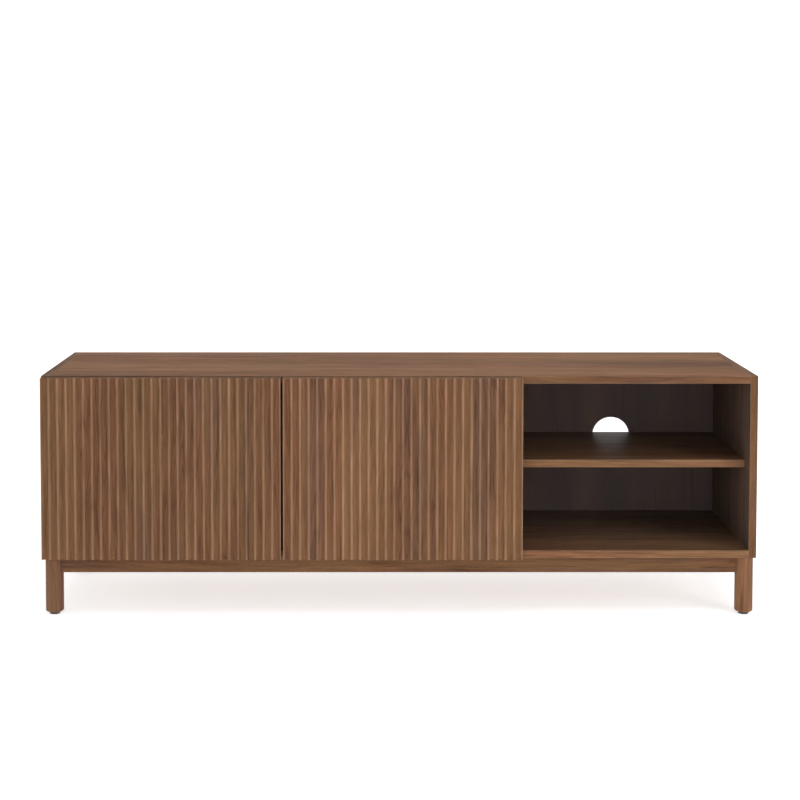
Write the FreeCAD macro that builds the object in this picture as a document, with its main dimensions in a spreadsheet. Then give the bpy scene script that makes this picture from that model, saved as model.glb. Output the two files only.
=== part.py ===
import FreeCAD
import Part
import Sketcher
import os

# Low TV stand: a board carcass with three bays on round legs joined by rails.
# Two fluted overlay doors close the left and middle bays. The right bay is open.
# Frame: origin under the middle of the stand on the floor, +X to the right,
# +Y to the back, +Z up. Millimetres.

DIMENSIONS = (
    ("width", 1500, "over the side panels"),
    ("depth", 400, "door fronts to the back edge"),
    ("height", 508, "floor to the top surface"),
    ("board", 16, "thickness of every carcass board and shelf"),
    ("arris", 0.5, "chamfer on board edges"),
    ("door_thick", 18, "door board"),
    ("door_gap", 3, "air between a closed door and the carcass"),
    ("door_overlay", 14, "how far a door covers the panel it hangs on"),
    ("door_split", 5, "gap between the two doors"),
    ("door_top_reveal", 2, "top surface to the top of a door"),
    ("door_foot_reveal", 1, "underside of the carcass to the bottom of a door"),
    ("divider_x", 251, "middle plane of the divider beside the open bay"),
    ("partition_setback", 20, "partition behind the carcass front"),
    ("flute_depth", 3.5, "deepest point of a flute"),
    ("flute_ridge", 3.5, "flat land between two flutes"),
    ("under", 123, "floor to the underside of the carcass"),
    ("back_thick", 3, "back panels"),
    ("back_inset", 9, "back edge of the carcass to the back panels"),
    ("groove_play", 0.1, "air on each side of a back panel in its groove"),
    ("groove_bite", 5, "how far a back panel enters a groove"),
    ("groove_deep", 6, "depth of a groove"),
    ("cable_radius", 42.5, "cable holes"),
    ("shelf_z", 315.5, "middle of the shelves and of the cable holes"),
    ("shelf_setback", 40, "shelf front behind the carcass front"),
    ("shelf_play", 1, "air at each end of a shelf"),
    ("shelf_rear_play", 0.5, "air between a shelf and the back panel"),
    ("peg_radius", 2.5, "shelf pegs"),
    ("peg_bite", 7.5, "peg length in the panel and out of it"),
    ("peg_inset", 35, "shelf edge to peg"),
    ("leg_radius", 19, "legs"),
    ("leg_chamfer", 2, "foot of a leg"),
    ("leg_inset", 21, "carcass edge to leg axis, both ways"),
    ("glide_radius", 11, "glides"),
    ("glide_thick", 6, "glides"),
    ("glide_chamfer", 1, "foot of a glide"),
    ("glide_stem", 2, "radius of the nail of a glide"),
    ("glide_nail", 10, "length of the nail of a glide"),
    ("rail_tall", 34, "rails"),
    ("rail_thick", 16, "rails"),
    ("rail_stop", 12, "leg axis to the end of a rail in its mortise"),
    ("rail_screw_x", 500, "middle of the stand to the outer screws of the long rails"),
    ("rail_screw_down", 25, "underside of the carcass to the head of a rail screw"),
    ("head_air", 0.5, "radial air round a screw head in its counterbore"),
    ("fit_air", 0.1, "radial air round fasteners"),
    ("bolt_radius", 4, "leg bolts"),
    ("bolt_down", 30, "leg bolt in the leg"),
    ("bolt_up", 11, "leg bolt, cam bolt or dowel in the board it is screwed into"),
    ("cam_radius", 7.5, "cam locks"),
    ("cam_deep", 12.5, "cam locks"),
    ("cam_reach", 24, "board end to cam axis"),
    ("cam_front", 60, "carcass front or back to cam axis"),
    ("cam_bolt", 3, "radius of a cam bolt"),
    ("dowel_radius", 4, "wooden dowels"),
    ("dowel_long", 30, "wooden dowels"),
    ("pivot_in", 7, "door edge to hinge axis"),
    ("pivot_deep", 8.5, "back of the door to hinge axis"),
    ("hinge_end", 80, "door end to the middle of a hinge"),
    ("cup_radius", 17.5, "hinge cup"),
    ("cup_deep", 12, "hinge cup"),
    ("cup_wall", 0.8, "sheet of the hinge cup"),
    ("cup_edge", 3, "door edge to hinge cup"),
    ("cup_screw_in", 2, "hinge cup axis to its screws and flange, towards the door's middle"),
    ("cup_screw_z", 22, "hinge middle to the cup screws"),
    ("flange_wide", 16, "flange of the hinge cup"),
    ("flange_tall", 54, "flange of the hinge cup"),
    ("ear_wide", 5.2, "ears in the hinge cup that hold the pin"),
    ("ear_deep", 6, "ears in the hinge cup that hold the pin"),
    ("ear_thick", 2.5, "ears in the hinge cup that hold the pin"),
    ("ear_spread", 6.25, "hinge middle to the middle of an ear"),
    ("ear_shift", 0.4, "hinge axis to the middle of an ear"),
    ("arm_thick", 2, "sheet of the hinge arm"),
    ("arm_tall", 9, "hinge arm"),
    ("knuckle_radius", 2.2, "eye of the hinge arm"),
    ("pin_radius", 1.5, "hinge pin"),
    ("pin_long", 15, "hinge pin"),
    ("pin_play", 0.05, "running clearance of the hinge pin"),
    ("saddle_long", 30, "wide rear end of the hinge arm"),
    ("saddle_tall", 16, "wide rear end of the hinge arm"),
    ("plate_thick", 3, "hinge mounting plate"),
    ("plate_in", 37, "carcass front to the middle of a hinge mounting plate"),
    ("plate_long", 36, "hinge mounting plate"),
    ("plate_tall", 18, "hinge mounting plate"),
    ("wing_long", 12, "wings of the mounting plate"),
    ("wing_tall", 52, "wings of the mounting plate"),
    ("plate_screw_z", 20, "hinge middle to the plate screws"),
    ("latch_z", 440, "push latches"),
    ("latch_wide", 12, "push latch housing"),
    ("latch_tall", 14, "push latch housing"),
    ("latch_long", 70, "push latch housing"),
    ("latch_proud", 17, "latch housing in front of the partition"),
    ("latch_screw_front", 44, "latch mouth to its front screw"),
    ("latch_screw_rear", 6, "rear end of the latch housing to its rear screw"),
    ("plunger_radius", 3.4, "push latch plunger"),
    ("plunger_chamfer", 1, "tip of the push latch plunger"),
    ("plunger_long", 31, "push latch plunger"),
    ("plunger_play", 0.05, "running clearance of the plunger"),
    ("plunger_air", 0.3, "plunger tip to strike plate"),
    ("plunger_bore", 38, "depth of the bore in the latch housing"),
    ("strike_radius", 7, "strike plate"),
    ("strike_thick", 1, "strike plate"),
    ("bumper_radius", 4, "door bumpers"),
    ("bumper_thick", 2.5, "door bumpers"),
    ("bumper_in", 20, "free edge of a door to its bumpers"),
)

FLUTES = 28

doc = FreeCAD.newDocument("tv_stand")
sheet = doc.addObject("Spreadsheet::Sheet", "Sizes")
for row, (alias, value, note) in enumerate(DIMENSIONS, start=1):
    sheet.set(f"A{row}", alias)
    sheet.set(f"B{row}", str(value))
    sheet.set(f"C{row}", note)
    sheet.setAlias(f"B{row}", alias)
doc.recompute()

subparts = []

# Planes that many parts share, as expressions of the sheet.
SIDE = "(Sizes.width / 2)"
INNER = f"({SIDE} - Sizes.board)"
FRONT = "(-Sizes.depth / 2 + Sizes.door_thick + Sizes.door_gap)"
REAR = "(Sizes.depth / 2)"
FLOOR = "(Sizes.under + Sizes.board)"
CEILING = "(Sizes.height - Sizes.board)"
DIVIDER_LEFT = "(Sizes.divider_x - Sizes.board / 2)"
DIVIDER_RIGHT = "(Sizes.divider_x + Sizes.board / 2)"
DOOR_LEFT = f"(-{INNER} - Sizes.door_overlay)"
DOOR_RIGHT = f"({DIVIDER_LEFT} + Sizes.door_overlay)"
DOOR_WIDE = f"(({DOOR_RIGHT} - {DOOR_LEFT} - Sizes.door_split) / 2)"
DOOR_BACK = "(-Sizes.depth / 2 + Sizes.door_thick)"
DOOR_FOOT = "(Sizes.under + Sizes.door_foot_reveal)"
DOOR_TALL = f"(Sizes.height - Sizes.door_top_reveal - {DOOR_FOOT})"
PARTITION_X = f"({DOOR_LEFT} + {DOOR_WIDE} + Sizes.door_split / 2)"
PARTITION_LEFT = f"({PARTITION_X} - Sizes.board / 2)"
PARTITION_RIGHT = f"({PARTITION_X} + Sizes.board / 2)"
PARTITION_FRONT = f"({FRONT} + Sizes.partition_setback)"
BACK_REAR = f"({REAR} - Sizes.back_inset)"
BACK_FRONT = f"({BACK_REAR} - Sizes.back_thick)"
SHELF_FRONT = f"({FRONT} + Sizes.shelf_setback)"
SHELF_REAR = f"({BACK_FRONT} - Sizes.shelf_rear_play)"
LEG_X = f"({SIDE} - Sizes.leg_inset)"
LEG_FRONT = f"({FRONT} + Sizes.leg_inset)"
LEG_REAR = f"({REAR} - Sizes.leg_inset)"
BAYS = (
    ("left", f"(-{INNER})", PARTITION_LEFT),
    ("middle", PARTITION_RIGHT, DIVIDER_LEFT),
    ("open", DIVIDER_RIGHT, INNER),
)
CAM_ROWS = (f"({FRONT} + Sizes.cam_front)", f"({REAR} - Sizes.cam_front)")
DOWEL_Y = f"(({FRONT} + {REAR}) / 2)"

TURN = {
    "x": FreeCAD.Rotation(FreeCAD.Vector(0, 1, 0), 90),
    "-x": FreeCAD.Rotation(FreeCAD.Vector(0, 1, 0), -90),
    "y": FreeCAD.Rotation(FreeCAD.Vector(1, 0, 0), -90),
    "-y": FreeCAD.Rotation(FreeCAD.Vector(1, 0, 0), 90),
    "z": FreeCAD.Rotation(),
}
# A quarter turn about its own axis keeps a rod's seam out of the holes that cross it.
SEAM_ASIDE = FreeCAD.Rotation(FreeCAD.Vector(0, 0, 1), 90)


def place(item, spot, axis="z", spin=FreeCAD.Rotation()):
    """Turn an object's own +Z to an axis, then bind its position to three expressions."""
    item.Placement = FreeCAD.Placement(FreeCAD.Vector(), TURN[axis].multiply(spin))
    for name, expression in zip("xyz", spot):
        item.setExpression(f"Placement.Base.{name}", str(expression))
    return item


def keep(item, label):
    """Name a finished sub-part and list it for export."""
    item.Label = label
    subparts.append(item)
    return item


def block(name, low, size):
    """Rectangular block from its low corner and its size, both as expressions."""
    item = doc.addObject("Part::Box", name)
    for side, expression in zip(("Length", "Width", "Height"), size):
        item.setExpression(side, str(expression))
    return place(item, low)


def middle_block(name, middle, size):
    """Rectangular block from the expressions of its middle and its size."""
    low = [f"({spot}) - ({length}) / 2" for spot, length in zip(middle, size)]
    return block(name, low, size)


def rod(name, radius, length, start, axis="z"):
    """Round rod from the middle of its first end, along an axis."""
    item = doc.addObject("Part::Cylinder", name)
    item.setExpression("Radius", str(radius))
    item.setExpression("Height", str(length))
    return place(item, start, axis, SEAM_ASIDE)


def joined(name, pieces):
    """One solid from pieces that overlap or touch."""
    item = doc.addObject("Part::MultiFuse", name)
    item.Shapes = pieces
    return item


def grouped(name, pieces):
    """Several separate solids kept as one sub-part."""
    item = doc.addObject("Part::Compound", name)
    item.Links = pieces
    return item


def machined(name, base, cutters):
    """A piece with holes, grooves or slots taken out of it, one cut after another."""
    item = base
    for i, cutter in enumerate(cutters):
        cut = doc.addObject("Part::Cut", f"{name}_{i}")
        cut.Base = item
        cut.Tool = cutter
        cut.Refine = False
        item = cut
    doc.recompute()
    if not item.Shape.Volume < base.Shape.Volume:
        raise ValueError(f"{name}: the cutters miss the piece")
    return item


def origin_plane(body, role):
    """One of a body's own origin planes."""
    return next(item for item in body.Origin.OriginFeatures if item.Role == role)


def new_sketch(body, name, role="XY_Plane"):
    """Empty sketch on one of the body's own planes."""
    sketch = body.newObject("Sketcher::SketchObject", name)
    sketch.AttachmentSupport = (origin_plane(body, role), [""])
    sketch.MapMode = "FlatFace"
    return sketch


def bind_distance(sketch, kind, corner, expression):
    """Fix one coordinate of a sketch point, measured from the sketch's origin."""
    index = sketch.addConstraint(Sketcher.Constraint(kind, -1, 1, corner[0], corner[1], 1.0))
    sketch.setExpression(f"Constraints[{index}]", str(expression))


def draw_rectangle(sketch, wide, deep):
    """Rectangle with one corner on the sketch's origin."""
    corners = [FreeCAD.Vector(x, y, 0) for x, y in ((0, 0), (1, 0), (1, 1), (0, 1))]
    for start, end in zip(corners, corners[1:] + corners[:1]):
        sketch.addGeometry(Part.LineSegment(start, end), False)
    for line in range(4):
        sketch.addConstraint(Sketcher.Constraint("Coincident", line, 2, (line + 1) % 4, 1))
    for line, kind in enumerate(("Horizontal", "Vertical", "Horizontal", "Vertical")):
        sketch.addConstraint(Sketcher.Constraint(kind, line))
    sketch.addConstraint(Sketcher.Constraint("Coincident", 0, 1, -1, 1))
    bind_distance(sketch, "DistanceX", (1, 2), wide)
    bind_distance(sketch, "DistanceY", (1, 2), deep)


def draw_circle(sketch, across, along, radius):
    """Circle from the expressions of its middle and radius."""
    circle = Part.Circle(FreeCAD.Vector(1, 1, 0), FreeCAD.Vector(0, 0, 1), 1)
    sketch.addGeometry(circle, False)
    bind_distance(sketch, "DistanceX", (0, 3), across)
    bind_distance(sketch, "DistanceY", (0, 3), along)
    index = sketch.addConstraint(Sketcher.Constraint("Radius", 0, 1.0))
    sketch.setExpression(f"Constraints[{index}]", str(radius))


def padded_body(name, low, size):
    """PartDesign body with one rectangular pad, placed by its low corner."""
    body = doc.addObject("PartDesign::Body", name)
    outline = new_sketch(body, f"{name}_outline")
    draw_rectangle(outline, size[0], size[1])
    pad = body.newObject("PartDesign::Pad", f"{name}_pad")
    pad.Profile = outline
    pad.setExpression("Length", str(size[2]))
    outline.Visibility = False
    place(body, low)
    return body


def board(name, low, size):
    """Board with a small chamfer on all its edges."""
    body = padded_body(name, low, size)
    doc.recompute()
    pad = body.Tip
    arris = body.newObject("PartDesign::Chamfer", f"{name}_arris")
    arris.Base = (pad, [""])
    arris.UseAllEdges = True
    arris.setExpression("Size", "Sizes.arris")
    body.Tip = arris
    return body


def turned_body(name, profile, spot):
    """PartDesign body turned about its own Z from a closed outline of radius and height."""
    body = doc.addObject("PartDesign::Body", name)
    outline = new_sketch(body, f"{name}_outline", "XZ_Plane")
    points = [FreeCAD.Vector(float(i + 1), float(i * i + 1), 0) for i in range(len(profile))]
    for start, end in zip(points, points[1:] + points[:1]):
        outline.addGeometry(Part.LineSegment(start, end), False)
    count = len(profile)
    for line in range(count):
        outline.addConstraint(Sketcher.Constraint("Coincident", line, 2, (line + 1) % count, 1))
    for line, (radius, level) in enumerate(profile):
        bind_distance(outline, "DistanceX", (line, 1), radius)
        bind_distance(outline, "DistanceY", (line, 1), level)
    turning = body.newObject("PartDesign::Revolution", f"{name}_turning")
    turning.Profile = outline
    turning.ReferenceAxis = (outline, ["V_Axis"])
    turning.Angle = 360
    place(body, spot)
    return body


def screw(name, spot, axis, head, shaft):
    """Headed screw whose head starts at a spot and whose shaft runs on along an axis."""
    head_radius, head_long = head
    shaft_radius, shaft_long = shaft
    top = rod(f"{name}_head", head_radius, head_long, (0, 0, 0))
    stem = rod(f"{name}_shaft", shaft_radius, shaft_long, (0, 0, head_long))
    return place(joined(name, [top, stem]), spot, axis)


# ---- cutters shared by the carcass boards -------------------------------------------

def groove(name, x_low, x_long, z_low, z_long):
    """Groove that takes the edge of a back panel."""
    low = (x_low, f"{BACK_FRONT} - Sizes.groove_play", z_low)
    return block(name, low, (x_long, "Sizes.back_thick + 2 * Sizes.groove_play", z_long))


PEG_LEVEL = "(Sizes.shelf_z - Sizes.board / 2 - Sizes.peg_radius)"
PEG_ROWS = (f"({SHELF_FRONT} + Sizes.peg_inset)", f"({SHELF_REAR} - Sizes.peg_inset)")


def peg_spots(left, right):
    """Starts of the four pegs of a shelf between two panel faces."""
    starts = (f"({left} - Sizes.peg_bite)", f"({right} - Sizes.peg_bite)")
    return [(start, row, PEG_LEVEL) for start in starts for row in PEG_ROWS]


def peg_holes(name, face_x, side):
    """Holes for the pegs of one shelf in one panel face; side is the way into the panel."""
    radius = "Sizes.peg_radius + Sizes.fit_air"
    return [
        rod(f"{name}_{i}", radius, "Sizes.peg_bite", (face_x, row, PEG_LEVEL), side)
        for i, row in enumerate(PEG_ROWS)
    ]


# Corner joints: where a board's end meets the face of another board.
# Each has the end plane, the way from the end into the board that carries the cams,
# and the middle plane of the thinner direction.
def end_joint(name, end, into, middle, air, overrun):
    """Cam bolts and a dowel across one corner joint, or the holes for them with air and overrun."""
    axis = "x" if into in ("x", "-x") else "z"
    sign = -1 if into.startswith("-") else 1
    reach = f"(Sizes.cam_reach - Sizes.cam_radius + {overrun})"
    bolt_long = f"({reach} + Sizes.bolt_up)"
    dowel_in = "(Sizes.dowel_long - Sizes.bolt_up)"
    bolt_low = f"({end} - Sizes.bolt_up)" if sign > 0 else f"({end} - {reach})"
    dowel_low = f"({end} - Sizes.bolt_up)" if sign > 0 else f"({end} - {dowel_in})"
    bolts = []
    for i, row in enumerate(CAM_ROWS):
        spot = (bolt_low, row, middle) if axis == "x" else (middle, row, bolt_low)
        bolts.append(rod(f"{name}_bolt_{i}", f"Sizes.cam_bolt + {air}", bolt_long, spot, axis))
    spot = (dowel_low, DOWEL_Y, middle) if axis == "x" else (middle, DOWEL_Y, dowel_low)
    dowel = rod(f"{name}_dowel", f"Sizes.dowel_radius + {air}", "Sizes.dowel_long", spot, axis)
    return bolts, dowel


TOP_MIDDLE = "(Sizes.height - Sizes.board / 2)"
FOOT_MIDDLE = "(Sizes.under + Sizes.board / 2)"
JOINTS = {
    "top_left": (f"(-{INNER})", "x", TOP_MIDDLE),
    "top_right": (INNER, "-x", TOP_MIDDLE),
    "bottom_left": (f"(-{INNER})", "x", FOOT_MIDDLE),
    "bottom_right": (INNER, "-x", FOOT_MIDDLE),
    "divider_top": (CEILING, "-z", "Sizes.divider_x"),
    "divider_foot": (FLOOR, "z", "Sizes.divider_x"),
    "partition_top": (CEILING, "-z", PARTITION_X),
    "partition_foot": (FLOOR, "z", PARTITION_X),
}


def joint_holes(board_name, joint_names):
    """Holes for the bolts and dowels of some joints in one board."""
    holes = []
    for joint in joint_names:
        bolts, dowel = end_joint(
            f"{board_name}_{joint}", *JOINTS[joint], "Sizes.fit_air", "Sizes.cam_radius / 2"
        )
        holes += bolts + [dowel]
    return holes


def cam_spots():
    """Start and axis of every cam lock: under the top and bottom, and in the uprights."""
    spots = []
    for side in (-1, 1):
        for row in CAM_ROWS:
            across = f"{side} * ({INNER} - Sizes.cam_reach)"
            spots.append(((across, row, CEILING), "z"))
            spots.append(((across, row, "Sizes.under"), "z"))
    for face in (DIVIDER_LEFT, PARTITION_LEFT):
        for row in CAM_ROWS:
            spots.append(((face, row, f"{CEILING} - Sizes.cam_reach"), "x"))
            spots.append(((face, row, f"{FLOOR} + Sizes.cam_reach"), "x"))
    return spots


def cams(name, chosen):
    """Cam locks, or their pockets, at the chosen spots."""
    return [
        rod(f"{name}_cam_{i}", "Sizes.cam_radius", "Sizes.cam_deep", spot, axis)
        for i, (spot, axis) in enumerate(chosen)
    ]


CAM_SPOTS = cam_spots()
CAM_OF_TOP = [CAM_SPOTS[i] for i in (0, 2, 4, 6)]
CAM_OF_BOTTOM = [CAM_SPOTS[i] for i in (1, 3, 5, 7)]
CAM_OF_DIVIDER = CAM_SPOTS[8:12]
CAM_OF_PARTITION = CAM_SPOTS[12:16]

LEGS = {
    "front_left": (-1, LEG_FRONT, 1),
    "front_right": (1, LEG_FRONT, 1),
    "rear_left": (-1, LEG_REAR, -1),
    "rear_right": (1, LEG_REAR, -1),
}
RAIL_SCREWS = [
    (f"{side} * Sizes.rail_screw_x", y) for side in (-1, 0, 1) for y in (LEG_FRONT, LEG_REAR)
] + [(f"{side} * {LEG_X}", "0") for side in (-1, 1)]
RAIL_HEAD_Z = "(Sizes.under - Sizes.rail_screw_down)"
# Screw heads and shafts are pairs of radius and length.
SCREW_HEAD = ("4", "3")
RAIL_SHAFT = ("2", "33")


def leg_bolts(name, air):
    """Leg bolts, or their holes."""
    pieces = []
    for leg, (side, y, _) in LEGS.items():
        spot = (f"{side} * {LEG_X}", y, "Sizes.under - Sizes.bolt_down")
        long = "Sizes.bolt_down + Sizes.bolt_up"
        pieces.append(rod(f"{name}_{leg}", f"Sizes.bolt_radius + {air}", long, spot))
    return pieces


def rail_screw_holes(name, spots):
    """Counterbore and clearance hole of the rail screws at some spots."""
    pieces = []
    for i, (x, y) in enumerate(spots):
        bore = f"{SCREW_HEAD[0]} + Sizes.head_air"
        mouth = (x, y, "Sizes.under - Sizes.rail_tall")
        deep = f"Sizes.rail_tall - Sizes.rail_screw_down + {SCREW_HEAD[1]}"
        pieces.append(rod(f"{name}_mouth_{i}", bore, deep, mouth))
        start = (x, y, f"{RAIL_HEAD_Z} + {SCREW_HEAD[1]}")
        radius = f"{RAIL_SHAFT[0]} + Sizes.fit_air"
        pieces.append(rod(f"{name}_hole_{i}", radius, RAIL_SHAFT[1], start))
    return pieces


# ---- carcass ------------------------------------------------------------------------

def make_top_and_bottom():
    """Top and bottom boards between the side panels."""
    span = f"2 * {INNER}"
    deep = f"{REAR} - {FRONT}"
    top = board("top_board", (f"-{INNER}", FRONT, CEILING), (span, deep, "Sizes.board"))
    cutters = [groove("top_groove", f"-{INNER}", span, CEILING, "Sizes.groove_deep")]
    cutters += joint_holes("top", ("top_left", "top_right", "divider_top", "partition_top"))
    cutters += cams("top", CAM_OF_TOP)
    keep(machined("top_machined", top, cutters), "top_panel")
    corner = (f"-{INNER}", FRONT, "Sizes.under")
    bottom = board("bottom_board", corner, (span, deep, "Sizes.board"))
    low = f"{FLOOR} - Sizes.groove_deep"
    cutters = [groove("bottom_groove", f"-{INNER}", span, low, "Sizes.groove_deep")]
    foot_joints = ("bottom_left", "bottom_right", "divider_foot", "partition_foot")
    cutters += joint_holes("bottom", foot_joints)
    cutters += cams("bottom", CAM_OF_BOTTOM)
    cutters += leg_bolts("bottom_bolt_hole", "Sizes.fit_air")
    for i, (x, y) in enumerate(RAIL_SCREWS):
        start = (x, y, "Sizes.under")
        hole_long = f"{RAIL_SHAFT[1]} - Sizes.rail_screw_down + {SCREW_HEAD[1]}"
        radius = f"{RAIL_SHAFT[0]} + Sizes.fit_air"
        cutters.append(rod(f"bottom_screw_{i}", radius, hole_long, start))
    keep(machined("bottom_machined", bottom, cutters), "bottom_panel")


def make_sides():
    """Side panels, full height, mirrored about the middle."""
    size = ("Sizes.board", f"{REAR} - {FRONT}", "Sizes.height - Sizes.under")
    for name, sign in (("left", -1), ("right", 1)):
        low_x = f"-{SIDE}" if sign < 0 else INNER
        face = f"(-{INNER})" if sign < 0 else INNER
        way = "-x" if sign < 0 else "x"
        panel = board(f"{name}_board", (low_x, FRONT, "Sizes.under"), size)
        groove_x = f"{face} - Sizes.groove_deep" if sign < 0 else face
        low_z = f"{FLOOR} - Sizes.groove_deep"
        high = f"{CEILING} - {FLOOR} + 2 * Sizes.groove_deep"
        cutters = [groove(f"{name}_groove", groove_x, "Sizes.groove_deep", low_z, high)]
        cutters += joint_holes(f"{name}_side", (f"top_{name}", f"bottom_{name}"))
        cutters += peg_holes(f"{name}_peg_hole", face, way)
        if sign < 0:
            cutters += plate_screw_holes("left_side", face, way)
        keep(machined(f"{name}_machined", panel, cutters), f"{name}_side_panel")


def make_uprights():
    """Divider beside the open bay, and the recessed partition behind the doors' meeting line."""
    tall = f"{CEILING} - {FLOOR}"
    divider_faces = (DIVIDER_LEFT, DIVIDER_RIGHT)
    partition_faces = (PARTITION_LEFT, PARTITION_RIGHT)
    uprights = (
        ("bay_divider", divider_faces, FRONT, "divider", CAM_OF_DIVIDER),
        ("centre_partition", partition_faces, PARTITION_FRONT, "partition", CAM_OF_PARTITION),
    )
    for label, (left, right), front, joint, cam_set in uprights:
        size = ("Sizes.board", f"{REAR} - {front}", tall)
        upright = board(f"{joint}_board", (left, front, FLOOR), size)
        right_groove = f"{right} - Sizes.groove_deep"
        cutters = [
            groove(f"{joint}_groove_left", left, "Sizes.groove_deep", FLOOR, tall),
            groove(f"{joint}_groove_right", right_groove, "Sizes.groove_deep", FLOOR, tall),
        ]
        cutters += joint_holes(joint, (f"{joint}_top", f"{joint}_foot"))
        cutters += cams(joint, cam_set)
        cutters += peg_holes(f"{joint}_peg_left", left, "x")
        cutters += peg_holes(f"{joint}_peg_right", right, "-x")
        if joint == "divider":
            cutters += plate_screw_holes("divider", left, "x")
        else:
            cutters += latch_screw_holes(joint)
        keep(machined(f"{joint}_machined", upright, cutters), label)


def make_backs_and_shelves():
    """One back panel with a cable hole and one shelf in each bay."""
    for bay, left, right in BAYS:
        wide = f"({right} - {left} + 2 * Sizes.groove_bite)"
        low = (f"{left} - Sizes.groove_bite", BACK_FRONT, f"{FLOOR} - Sizes.groove_bite")
        size = (wide, "Sizes.back_thick", f"{CEILING} - {FLOOR} + 2 * Sizes.groove_bite")
        back = padded_body(f"{bay}_back", low, size)
        doc.recompute()
        solid_volume = back.Shape.Volume
        outline = new_sketch(back, f"{bay}_cable_outline", "XZ_Plane")
        level = f"Sizes.shelf_z - {FLOOR} + Sizes.groove_bite"
        draw_circle(outline, f"{wide} / 2", level, "Sizes.cable_radius")
        hole = back.newObject("PartDesign::Pocket", f"{bay}_cable_hole")
        hole.Profile = outline
        hole.Type = "ThroughAll"
        hole.Midplane = True
        back.Tip = hole
        doc.recompute()
        if not back.Shape.Volume < solid_volume:
            raise ValueError("the cable hole misses the back panel")
        keep(back, f"{bay}_bay_back_panel")
        spot = (f"{left} + Sizes.shelf_play", SHELF_FRONT, "Sizes.shelf_z - Sizes.board / 2")
        shelf_long = f"{right} - {left} - 2 * Sizes.shelf_play"
        shelf_deep = f"{SHELF_REAR} - {SHELF_FRONT}"
        shelf = board(f"{bay}_shelf", spot, (shelf_long, shelf_deep, "Sizes.board"))
        keep(shelf, f"{bay}_bay_shelf")


def make_pegs():
    """Four pegs under each shelf."""
    pegs = []
    for bay, left, right in BAYS:
        for i, spot in enumerate(peg_spots(left, right)):
            pegs.append(rod(f"{bay}_peg_{i}", "Sizes.peg_radius", "2 * Sizes.peg_bite", spot, "x"))
    keep(grouped("all_pegs", pegs), "shelf_pegs")


def make_joint_fittings():
    """Cam bolts, dowels and cam locks of all the corner joints."""
    bolts = []
    dowels = []
    for joint, (end, into, middle) in JOINTS.items():
        pair, dowel = end_joint(f"{joint}_fitting", end, into, middle, "0", "0")
        bolts += pair
        dowels.append(dowel)
    keep(grouped("all_cam_bolts", bolts), "cam_bolts")
    keep(grouped("all_dowels", dowels), "wooden_dowels")
    keep(grouped("all_cams", cams("lock", CAM_SPOTS)), "cam_locks")


# ---- base ---------------------------------------------------------------------------

def make_legs():
    """Turned legs with two mortises each, glides nailed under them, and their bolts."""
    for leg, (side, y, inward) in LEGS.items():
        x = f"{side} * {LEG_X}"
        tall = "(Sizes.under - Sizes.glide_thick)"
        shape = turned_body(
            f"{leg}_turned",
            (
                ("0", "0"),
                ("Sizes.leg_radius - Sizes.leg_chamfer", "0"),
                ("Sizes.leg_radius", "Sizes.leg_chamfer"),
                ("Sizes.leg_radius", tall),
                ("0", tall),
            ),
            (x, y, "Sizes.glide_thick"),
        )
        bite = "(Sizes.leg_radius - Sizes.rail_stop)"
        centre = f"(Sizes.rail_stop + {bite} / 2)"
        level = "Sizes.under - Sizes.rail_tall / 2"
        slot_x = (f"{x} - {side} * {centre}", y, level)
        slot_y = (x, f"{y} + {inward} * {centre}", level)
        nail_hole = "Sizes.glide_stem + Sizes.fit_air"
        bolt_hole = "Sizes.bolt_radius + Sizes.fit_air"
        bolt_foot = (x, y, "Sizes.under - Sizes.bolt_down")
        cutters = [
            middle_block(f"{leg}_mortise_x", slot_x, (bite, "Sizes.rail_thick", "Sizes.rail_tall")),
            middle_block(f"{leg}_mortise_y", slot_y, ("Sizes.rail_thick", bite, "Sizes.rail_tall")),
            rod(f"{leg}_nail_hole", nail_hole, "Sizes.glide_nail", (x, y, "Sizes.glide_thick")),
            rod(f"{leg}_bolt_hole", bolt_hole, "Sizes.bolt_down", bolt_foot),
        ]
        keep(machined(f"{leg}_machined", shape, cutters), f"{leg}_leg")
        top = "(Sizes.glide_thick + Sizes.glide_nail)"
        glide = turned_body(
            f"{leg}_glide_turned",
            (
                ("0", "0"),
                ("Sizes.glide_radius - Sizes.glide_chamfer", "0"),
                ("Sizes.glide_radius", "Sizes.glide_chamfer"),
                ("Sizes.glide_radius", "Sizes.glide_thick"),
                ("Sizes.glide_stem", "Sizes.glide_thick"),
                ("Sizes.glide_stem", top),
                ("0", top),
            ),
            (x, y, "0"),
        )
        keep(glide, f"{leg}_glide")
    keep(grouped("all_leg_bolts", leg_bolts("leg_bolt", "0")), "leg_bolts")


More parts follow.
